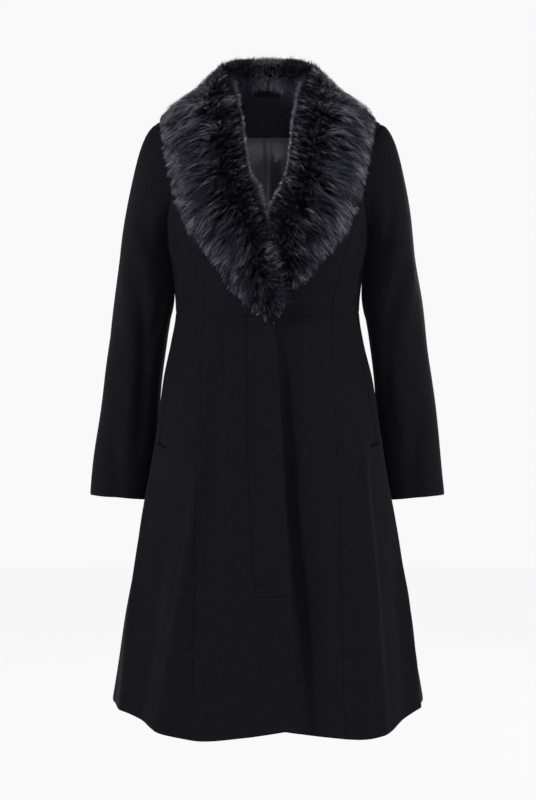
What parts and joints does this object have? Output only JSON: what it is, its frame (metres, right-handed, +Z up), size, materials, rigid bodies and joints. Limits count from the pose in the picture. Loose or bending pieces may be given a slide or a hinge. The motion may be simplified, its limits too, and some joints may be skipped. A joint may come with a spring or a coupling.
{
  "type": "a-line coat",
  "caption": "Hollow, worn-form A-line coat of dark wool with a deep fur shawl collar, a waist seam, a flared skirt, a hidden fly front and slanted welt pockets.",
  "frame": {"origin": "midway between the neck ends of the two shoulder seams, where the wearer's shoulders hold the coat", "axes": "+Z up, from the hem to the neck; the front faces -Y; the wearer's left is +X"},
  "size_m": [0.603, 0.4015, 1.1243],
  "materials": {
    "coat_wool": "black brushed wool cloth with a short matt nap",
    "collar_fur": "long-pile faux fur, dark at the roots and grey at the tips",
    "lining_satin": "charcoal satin with a soft sheen",
    "loop_tape": "black woven tape",
    "hook_metal": "bright polished wire"
  },
  "bodies": {
    "root": {"bodice_front_right": "coat_wool", "bodice_front_left": "coat_wool", "bodice_side_right": "coat_wool", "bodice_side_left": "coat_wool", "bodice_back": "coat_wool", "skirt_front_right": "coat_wool", "skirt_front_left": "coat_wool", "skirt_side_right": "coat_wool", "skirt_side_left": "coat_wool", "skirt_back": "coat_wool", "sleeve_right": "coat_wool", "sleeve_left": "coat_wool", "pocket_welt_right": "coat_wool", "pocket_welt_left": "coat_wool", "fly_placket": "coat_wool", "back_neck_facing": "coat_wool", "collar_right": "collar_fur", "collar_left": "collar_fur", "lining_back": "lining_satin", "hanger_loop": "loop_tape", "waist_hook": "hook_metal"}
  },
  "joints": []
}
